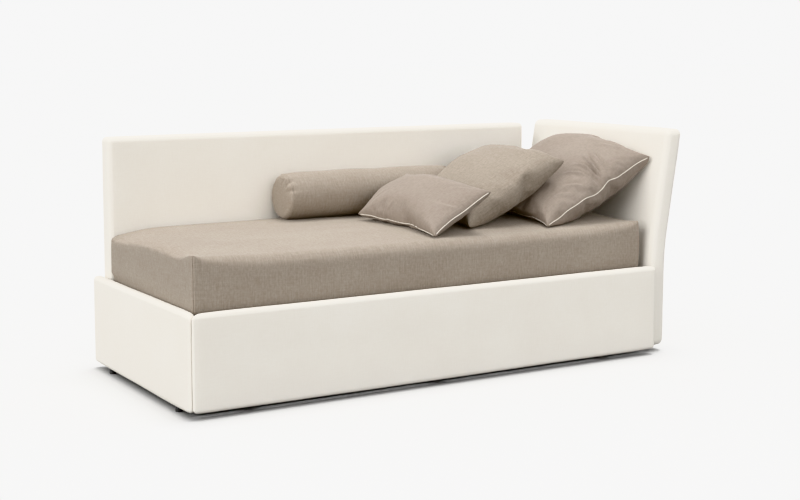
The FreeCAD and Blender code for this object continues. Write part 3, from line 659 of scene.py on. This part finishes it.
def cushion_start(q):
    """Two flat pieces of cloth sewn round their edge, slightly parted."""
    h0, w0 = q["h"] * 1.02, q["w"] * 1.02
    na, nb = int(round(h0 / CELL)), int(round(w0 / CELL))
    a = np.linspace(-1, 1, na + 1)
    b = np.linspace(-1, 1, nb + 1)
    A, B = np.meshgrid(a, b, indexing="ij")
    lift = ((1 - A ** 2) * (1 - B ** 2)) ** 0.5
    bow = 0.040
    X, Y = A * h0 / 2 * (1 + bow * (1 - B ** 2)), B * w0 / 2 * (1 + bow * (1 - A ** 2))
    rng = np.random.RandomState(q["seed"])
    ids = {}
    v, uv = [], []
    for side in (1, -1):
        for i in range(na + 1):
            for j in range(nb + 1):
                rim = i in (0, na) or j in (0, nb)
                key = (i, j, 0 if rim else side)
                if key in ids:
                    continue
                ids[key] = len(v)
                z = 0.0 if rim else side * (0.030 * lift[i, j] + 0.0006 * rng.uniform(-1, 1))
                v.append((X[i, j], Y[i, j], z))
    faces, corner_uv = [], []
    for side in (1, -1):
        for i in range(na):
            for j in range(nb):
                cs = [(i, j), (i + 1, j), (i + 1, j + 1), (i, j + 1)]
                if side < 0:
                    cs = cs[::-1]
                f = [ids[(x, y, 0 if (x in (0, na) or y in (0, nb)) else side)] for x, y in cs]
                faces.append(f)
                corner_uv.append([(B[x, y] * w0 / 2 + (0.0 if side > 0 else 0.7), A[x, y] * h0 / 2) for x, y in cs])
    seam = [ids[(i, 0, 0)] for i in range(na)] + [ids[(na, j, 0)] for j in range(nb)] + \
           [ids[(i, nb, 0)] for i in range(na, 0, -1)] + [ids[(0, j, 0)] for j in range(nb, 0, -1)]
    corners = {"A": ids[(0, nb, 0)], "B": ids[(na, nb, 0)], "C": ids[(na, 0, 0)], "D": ids[(0, 0, 0)]}
    top = np.array([k[2] for k in ids])
    return np.array(v), faces, corner_uv, seam, corners, top


def inflate(starts):
    """Blender's cloth blows the sewn covers up; all cushions in one run."""
    work = []
    for name, s in starts.items():
        me = bpy.data.meshes.new(name + "_sim")
        me.from_pydata([tuple(p) for p in s[0]], [], s[1])
        ob = bpy.data.objects.new(name + "_sim", me)
        scene.collection.objects.link(ob)
        mod = ob.modifiers.new("cloth", "CLOTH")
        k = mod.settings
        k.quality = 6
        k.mass = 0.25
        k.tension_stiffness, k.compression_stiffness, k.shear_stiffness, k.bending_stiffness = 28.0, 14.0, 9.0, 0.35
        k.tension_damping = k.compression_damping = k.shear_damping = 8.0
        k.air_damping = 3.0
        k.use_pressure = True
        k.uniform_pressure_force = CUSHIONS[name]["press"]
        k.effector_weights.gravity = 0.0
        mod.collision_settings.use_collision = False
        mod.collision_settings.use_self_collision = False
        mod.point_cache.frame_start, mod.point_cache.frame_end = 1, 40
        work.append((name, ob))
    frames = 26
    for f in range(1, frames + 1):
        scene.frame_set(f)
    out = {}
    dg = bpy.context.evaluated_depsgraph_get()
    for name, ob in work:
        ev = ob.evaluated_get(dg)
        me = ev.to_mesh()
        co = np.zeros(len(me.vertices) * 3, np.float32)
        me.vertices.foreach_get("co", co)
        ev.to_mesh_clear()
        out[name] = co.reshape(-1, 3).astype(float)
        data = ob.data
        bpy.data.objects.remove(ob)
        bpy.data.meshes.remove(data)
    scene.frame_set(1)
    return out


STARTS = {n: cushion_start(q) for n, q in CUSHIONS.items()}
BLOWN = inflate(STARTS)


def cushion_shape(name):
    q = CUSHIONS[name]
    v0, faces, corner_uv, seam, corners, top = STARTS[name]
    p = BLOWN[name].copy()
    p -= np.mean([p[i] for i in corners.values()], axis=0)
    span_u = np.mean([p[corners["B"]][0] - p[corners["A"]][0], p[corners["C"]][0] - p[corners["D"]][0]])
    span_v = np.mean([p[corners["A"]][1] - p[corners["D"]][1], p[corners["B"]][1] - p[corners["C"]][1]])
    p[:, 0] *= q["h"] / span_u
    p[:, 1] *= q["w"] / span_v
    # a full cushion: the seam pulls in only a little between its corners
    edge, out = p[seam].copy(), p.copy()
    for ax, ot, half in ((0, 1, q["h"] / 2), (1, 0, q["w"] / 2)):
        for sign in (1, -1):
            e = edge[(np.sign(edge[:, ax]) == sign) & (np.abs(edge[:, ax]) > 0.75 * half)]
            fit = np.polyfit(e[:, ot], np.abs(e[:, ax]), 4)
            now = np.polyval(fit, np.clip(p[:, ot], e[:, ot].min(), e[:, ot].max()))
            want = half - (half - now) * 0.35
            m = np.sign(p[:, ax]) == sign
            out[m, ax] = (p[:, ax] * want / np.maximum(now, 0.3 * half))[m]
    p = out
    z = p[:, 2]
    hi, lo = z.max(), -z.min()
    p[:, 2] = np.where(z > 0, q["up"] * (np.clip(z, 0, None) / hi) ** q["full_up"], -q["down"] * (np.clip(-z, 0, None) / lo) ** q["full_down"])
    a, b = smooth01(0.5 + p[:, 0] / q["h"]), smooth01(0.5 + p[:, 1] / q["w"])
    near = {"A": (1 - a) * b, "B": a * b, "C": a * (1 - b), "D": (1 - a) * (1 - b)}
    for k, (du, dv) in q["wide"].items():
        p[:, 0] += du * near[k]
        p[:, 1] += dv * near[k]
    for k, (du, dv) in q["pull"].items():
        p[:, 0] += du * near[k] ** 3
        p[:, 1] += dv * near[k] ** 3
    p[:, 2] -= q["droop"] * near["B"] ** 2
    crown = smooth01(p[:, 2] / (0.5 * q["up"]))
    for du, dv, reach, rise in q["dome"]:
        p[:, 2] += rise * np.exp(-((p[:, 0] - du) ** 2 + (p[:, 1] - dv) ** 2) / reach ** 2) * crown
    # a sewn edge is never quite even
    side = np.minimum(q["h"] / 2 - np.abs(p[:, 0]), q["w"] / 2 - np.abs(p[:, 1]))
    flat = np.column_stack([p[:, :2], np.zeros(len(p))])
    ripple = q["wave"] * wobble(flat, 0.13, q["seed"] + 20) * np.exp(-(np.maximum(side, 0) / 0.032) ** 2)
    for at, rise in q["kink"]:
        along = p[:, 0] - at
        ripple += rise * np.exp(-(along / np.where(along < 0, 0.014, 0.038)) ** 2) * np.exp(-((p[:, 1] + q["w"] / 2) / 0.040) ** 2)
    for du, dv, reach, rise in q["lift"]:
        ripple += rise * np.exp(-((p[:, 0] - du) ** 2 + (p[:, 1] - dv) ** 2) / reach ** 2)
    p[:, 2] += ripple
    # the face swells out over the seam along the edge it sits on
    low_edge = np.exp(-np.maximum(p[:, 0] + q["h"] / 2, 0) / 0.10) * smooth01(4 * b * (1 - b) * 1.3)
    swell = smooth01(p[:, 2] / (0.45 * q["up"]))
    p[:, 0] -= q["sag"] * low_edge * swell
    u, v2, n = cushion_frame(q)
    return np.array(q["c"]) + p[:, :1] * u + p[:, 1:2] * v2 + p[:, 2:] * n


def lie_on_mattress(w):
    """Flat where it rests on the mattress, with a soft turn up at the edge of the flat."""
    rest = mattress_top(w[:, 0], w[:, 1]) + 0.0028
    gap = w[:, 2] - rest
    soft = 0.007
    w[:, 2] = rest + np.where(gap > soft, gap, soft * np.exp(np.minimum(gap - soft, 0) / soft))
    return w


def faces_of(v, faces):
    return BVHTree.FromPolygons([tuple(p) for p in v], faces)


def press_under(name, low_name, gap, rounds=4):
    """The upper cushion's underside gives way where it would sink into the lower one and lies on it; the dent runs out softly."""
    upper, faces, top = SHAPES[name], STARTS[name][1], STARTS[name][5]
    tree = faces_of(SHAPES[low_name], STARTS[low_name][1])
    under = top < 0
    e = np.array([(f[k], f[(k + 1) % 4]) for f in faces for k in range(4)])
    deg = np.bincount(e[:, 0], minlength=len(upper)) + np.bincount(e[:, 1], minlength=len(upper))
    up, down = Vector((0, 0, 1)), Vector((0, 0, -1))
    most, count = 0.0, 0
    for _ in range(rounds):
        lift = np.zeros(len(upper))
        for i, q in enumerate(upper):
            hit = tree.ray_cast(Vector((q[0], q[1], 3.0)), down)
            if hit[0] is None:
                continue
            low = tree.ray_cast(Vector((q[0], q[1], -1.0)), up)
            if low[0] is not None and low[0].z - gap < q[2] < hit[0].z + gap:
                lift[i] = hit[0].z + gap - q[2]
        if lift.max() <= 1e-5:
            break
        most, count = max(most, float(lift.max())), max(count, int((lift > 0).sum()))
        need = lift.copy()
        for _ in range(16):
            s = np.bincount(e[:, 0], lift[e[:, 1]], len(upper)) + np.bincount(e[:, 1], lift[e[:, 0]], len(upper))
            lift = np.maximum(need, np.where(under, 0.95 * s / deg, 0.0))
        upper[:, 2] += lift
    print("pressed", name, count, "points, most", round(most, 4), "of them on the seam or top", int((need[~under] > 0).sum()))


def finer(v, faces, corner_uv):
    """One round of Catmull-Clark on a closed mesh of quads."""
    f = np.array(faces)
    n = len(v)
    mid = v[f].mean(1)
    e = np.concatenate([np.stack([f[:, k], f[:, (k + 1) % 4]], 1) for k in range(4)])
    owner = np.tile(np.arange(len(f)), 4)
    key, which = np.unique(np.sort(e, 1), axis=0, return_inverse=True)
    which = which.reshape(-1)
    ends = v[key].sum(1)
    sides = np.zeros((len(key), 3))
    np.add.at(sides, which, mid[owner])
    point = (ends + sides) / 4
    turn = np.bincount(f.ravel(), minlength=n)[:, None]
    fsum, esum = np.zeros((n, 3)), np.zeros((n, 3))
    for k in range(4):
        np.add.at(fsum, f[:, k], mid)
    half = v[key].mean(1)
    np.add.at(esum, key[:, 0], half)
    np.add.at(esum, key[:, 1], half)
    old = (fsum / turn + 2 * esum / turn + (turn - 3) * v) / turn
    out = np.concatenate([old, point, mid])
    w = which.reshape(4, len(f))
    new, uv = [], []
    for i, c in enumerate(corner_uv):
        c = [np.array(t) for t in c]
        m = sum(c) / 4
        for k in range(4):
            new.append([int(f[i, k]), n + int(w[k, i]), n + len(key) + i, n + int(w[k - 1, i])])
            uv.append([tuple(c[k]), tuple((c[k] + c[(k + 1) % 4]) / 2), tuple(m), tuple((c[k] + c[k - 1]) / 2)])
    return out, new, uv


def soften(v, faces, hold, rounds):
    """Evens out a cover where hold is low."""
    f = np.array(faces)
    e = np.concatenate([np.stack([f[:, k], f[:, (k + 1) % 4]], 1) for k in range(4)])
    deg = (np.bincount(e[:, 0], minlength=len(v)) + np.bincount(e[:, 1], minlength=len(v)))[:, None]
    for _ in range(rounds):
        s = np.stack([np.bincount(e[:, 0], v[e[:, 1], k], len(v)) + np.bincount(e[:, 1], v[e[:, 0], k], len(v)) for k in range(3)], 1)
        v = v + (1 - hold)[:, None] * 0.6 * (s / deg - v)
    return v


def creases(v, q, lines):
    """Soft creases on the upper face: each runs along a bowed line in the cushion's own plane."""
    u, v2, n = cushion_frame(q)
    d = v - np.array(q["c"])
    pu, pv, pn = d @ u, d @ v2, d @ n
    lift = np.zeros(len(v))
    for (u0, w0), (u1, w1), width, depth, arch in lines:
        a, b = np.array([u0, w0]), np.array([u1, w1])
        ab = b - a
        long = np.linalg.norm(ab)
        t = ((pu - a[0]) * ab[0] + (pv - a[1]) * ab[1]) / long ** 2
        side = ((pu - a[0]) * -ab[1] + (pv - a[1]) * ab[0]) / long - arch * np.sin(math.pi * np.clip(t, 0, 1)) * long
        x = side / (width * (0.6 + 0.8 * np.clip(t, 0, 1)))
        lift += smooth01(t / 0.25) * smooth01((1 - t) / 0.45) * depth * (1.15 * np.exp(-((x - 0.9) / 0.7) ** 2) - np.exp(-(x / 0.6) ** 2))
    return v + n * (lift * smooth01((pn + 0.004) / 0.02))[:, None]


SHAPES = {n: cushion_shape(n) for n in CUSHIONS}


def settle(name):
    """Lays a cushion on the mattress; where that raises its seam, the face above rises with it and runs out softly."""
    faces, top = STARTS[name][1], STARTS[name][5]
    before = SHAPES[name][:, 2].copy()
    w = lie_on_mattress(SHAPES[name])
    e = np.array([(f[k], f[(k + 1) % 4]) for f in faces for k in range(4)])
    upper = top >= 0
    e = e[upper[e[:, 0]] & upper[e[:, 1]]]
    deg = np.maximum(np.bincount(e[:, 0], minlength=len(w)) + np.bincount(e[:, 1], minlength=len(w)), 1)
    need = np.where(upper, w[:, 2] - before, 0.0)
    lift = need.copy()
    for _ in range(24):
        s = np.bincount(e[:, 0], lift[e[:, 1]], len(w)) + np.bincount(e[:, 1], lift[e[:, 0]], len(w))
        lift = np.maximum(need, np.where(upper, 0.97 * s / deg, 0.0))
    w[:, 2] += lift - need
    return w


for n in CUSHIONS:
    SHAPES[n] = settle(n)
CREASES = {
    "large_cushion": [((0.085, -0.268), (0.150, -0.110), 0.011, 0.0060, 0.08), ((0.044, -0.276), (0.098, -0.115), 0.011, 0.0105, 0.05),
                      ((0.030, -0.276), (0.010, -0.130), 0.011, 0.0098, -0.06), ((0.010, -0.270), (-0.066, -0.145), 0.011, 0.0080, -0.08),
                      ((-0.040, -0.262), (-0.150, -0.195), 0.011, 0.0055, -0.05), ((-0.110, -0.250), (-0.220, -0.205), 0.010, 0.0040, -0.04),
                      ((0.225, -0.225), (0.180, -0.090), 0.012, 0.0028, 0.05)],
    "mid_cushion": [((0.235, -0.250), (0.150, -0.200), 0.010, 0.0016, 0.05)],
    "small_cushion": [((-0.130, 0.190), (-0.020, 0.110), 0.012, 0.0020, 0.08), ((-0.136, 0.046), (-0.060, 0.012), 0.011, 0.0026, -0.08),
                      ((0.002, -0.262), (-0.030, -0.150), 0.018, 0.0040, 0.06), ((0.110, -0.245), (0.050, -0.140), 0.012, 0.0018, -0.06)],
}
press_under("mid_cushion", "large_cushion", 0.003)
press_under("small_cushion", "mid_cushion", 0.003)


def clear_of_panels(v):
    """A cover lies flat against the head panel and the bolster, and doesn't sink into them."""
    v = v.copy()
    soft = 0.004
    room = 2.080 + lean_by(v[:, 2]) - 0.006 - v[:, 0]
    v[:, 0] += room - np.where(room > 8 * soft, room, soft * np.log1p(np.exp(np.minimum(room, 8 * soft) / soft)))
    y, z = v[:, 1] - BOL_Y, v[:, 2] - BOL_Z
    r = np.hypot(y, z)
    out = r - BOL_R - 0.004
    clear = np.where(out > 8 * soft, out, soft * np.log1p(np.exp(np.minimum(out, 8 * soft) / soft)))
    beside = smooth01((v[:, 0] - BOL_X0 + 0.02) / 0.015) * smooth01((BOL_X1 + 0.02 - v[:, 0]) / 0.015)
    grow = 1 + beside * (clear - out) / r
    v[:, 1], v[:, 2] = BOL_Y + y * grow, BOL_Z + z * grow
    return v


def add_cushion(name, slot, piped):
    q = CUSHIONS[name]
    v, faces, corner_uv = finer(SHAPES[name], STARTS[name][1], STARTS[name][2])
    if q["edge"]:
        # no piping: the edge is soft and round, firm only at the corners
        seam = v[STARTS[name][3]]
        tips = v[list(STARTS[name][4].values())]
        gap = np.sqrt(((v[:, None, :] - seam[None, ::2, :]) ** 2).sum(2).min(1))
        tip = np.sqrt(((v[:, None, :] - tips[None]) ** 2).sum(2).min(1))
        v = soften(v, faces, 1 - np.exp(-(gap / q["edge"]) ** 2) * (0.5 + 0.5 * smooth01((tip - 0.012) / 0.06)), 24)
    if "even" in q:
        # a pucker in the face runs out before it reaches this far
        u, v2, n = cushion_frame(q)
        d = v - np.array(q["c"])
        seam = v[STARTS[name][3]]
        gap = np.sqrt(((v[:, None, :] - seam[None, ::2, :]) ** 2).sum(2).min(1))
        at_u, at_v, reach = q["even"]
        face = np.exp(-((d @ u - at_u) ** 2 + (d @ v2 - at_v) ** 2) / reach ** 2) * (d @ n > 0.0) * smooth01((gap - 0.004) / 0.014)
        v = soften(v, faces, 1 - face, 70)
    v = clear_of_panels(creases(v, q, CREASES[name]))
    ob = make(name + "_piece", v, faces, corner_uv, M[slot])
    nodes = [name + "_cover", name + "_pad"]
    done(ob, name, nodes)
    if piped:
        path = v[STARTS[name][3]]
        for _ in range(4):
            path = 0.5 * path + 0.25 * (np.roll(path, 1, 0) + np.roll(path, -1, 0))
        fine = np.empty((2 * len(path), 3))
        fine[::2] = path
        fine[1::2] = 0.5 * (path + np.roll(path, -1, 0))
        tv, tf, tuv = tube(fine, 0.0017)
        pipe = make(name + "_piping_piece", tv, tf, tuv, M["piping"])
        done(pipe, name, [name + "_piping"])
    return ob


add_cushion("large_cushion", "cushion_plain", True)
add_cushion("mid_cushion", "cushion_heather", False)
add_cushion("small_cushion", "cushion_plain", True)

# ---------------------------------------------------------------- floor, light, camera
net = Net("pale_floor")
p = net.place()
cloud = net.noise(p, (0.35, 0.35, 0.35), detail=2.0, dims="3D")
white = net.ramp(cloud, [(0.2, (0.972, 0.972, 0.970)), (0.8, (0.988, 0.988, 0.986))])
# painted shade: bounced light sees the floor as dark grey although it looks white, so the bed's lower and front faces
# get less light from the floor
bounce_shade_grey = net.ramp(cloud, [(0.2, (0.28, 0.28, 0.275)), (0.8, (0.32, 0.32, 0.315))])
bounce = net.n("LightPath").outputs["Is Diffuse Ray"]
net.to(net.n("MixRGB", {"Fac": bounce, "Color1": white, "Color2": bounce_shade_grey}).outputs[0], "Base Color")
net.rough(cloud, 0.8, 0.95)
net.set(Specular_IOR_Level=0.1)
me = bpy.data.meshes.new("floor")
me.from_pydata([(-60, -60, 0), (60, -60, 0), (60, 60, 0), (-60, 60, 0)], [], [[0, 1, 2, 3]])
me.materials.append(net.m)
floor = bpy.data.objects.new("floor", me)
scene.collection.objects.link(floor)

world = bpy.data.worlds.new("studio")
scene.world = world
world.use_nodes = True
wt = world.node_tree
bg = wt.nodes["Background"]
# the light comes from overhead and fades towards the horizon, so that little of it reaches under the panels
way, split, rise = (wt.nodes.new("ShaderNode" + k) for k in ("TexCoord", "SeparateXYZ", "MapRange"))
wt.links.new(way.outputs["Generated"], split.inputs[0])
wt.links.new(split.outputs["Z"], rise.inputs["Value"])
rise.interpolation_type = "SMOOTHSTEP"
for socket, value in (("From Min", 0.0), ("From Max", 0.55), ("To Min", 0.24), ("To Max", 0.86)):
    rise.inputs[socket].default_value = value
wt.links.new(rise.outputs["Result"], bg.inputs["Strength"])
bg.inputs["Color"].default_value = (1.0, 1.0, 1.0, 1.0)
seen = wt.nodes.new("ShaderNodeBackground")
seen.inputs["Strength"].default_value = 1.73
pick, path = wt.nodes.new("ShaderNodeMixShader"), wt.nodes.new("ShaderNodeLightPath")
wt.links.new(path.outputs["Is Camera Ray"], pick.inputs[0])
wt.links.new(bg.outputs[0], pick.inputs[1])
wt.links.new(seen.outputs[0], pick.inputs[2])
wt.links.new(pick.outputs[0], wt.nodes["World Output"].inputs["Surface"])

object_only = bpy.data.collections.new("object_only")
object_only.objects.link(floor)
object_only.collection_objects[0].light_linking.link_state = "EXCLUDE"


def soft_sun(name, energy, angle, towards, fill):
    data = bpy.data.lights.new(name, "SUN")
    data.energy, data.angle = energy, math.radians(angle)
    ob = bpy.data.objects.new(name, data)
    scene.collection.objects.link(ob)
    ob.rotation_euler = Vector(towards).to_track_quat("Z", "Y").to_euler()
    if fill:
        ob.light_linking.receiver_collection = object_only


soft_sun("key", 2.04, 26, (0.16, 0.09, 0.98), False)
soft_sun("left_fill", 2.35, 50, (-0.95, -0.10, 0.34), True)
soft_sun("front_fill", 1.48, 60, (0.0, -0.97, 0.25), True)
soft_sun("back_fill", 1.15, 60, (0.62, 0.77, 0.14), True)
scene.view_settings.view_transform = "Khronos PBR Neutral"
scene.view_settings.look = "None"

cam = bpy.data.cameras.new("photo_view")
cam.lens, cam.sensor_width, cam.sensor_fit = 64.206, 36.0, "HORIZONTAL"
cam.shift_y = -0.075
cam.clip_end = 200.0
camera = bpy.data.objects.new("photo_view", cam)
scene.collection.objects.link(camera)
camera.location = Vector(np.array([-1.856, -4.452, 1.293]) + ORIGIN)
camera.rotation_euler = (math.radians(90 - 5.91), 0.0, math.radians(-31.15))
scene.camera = camera
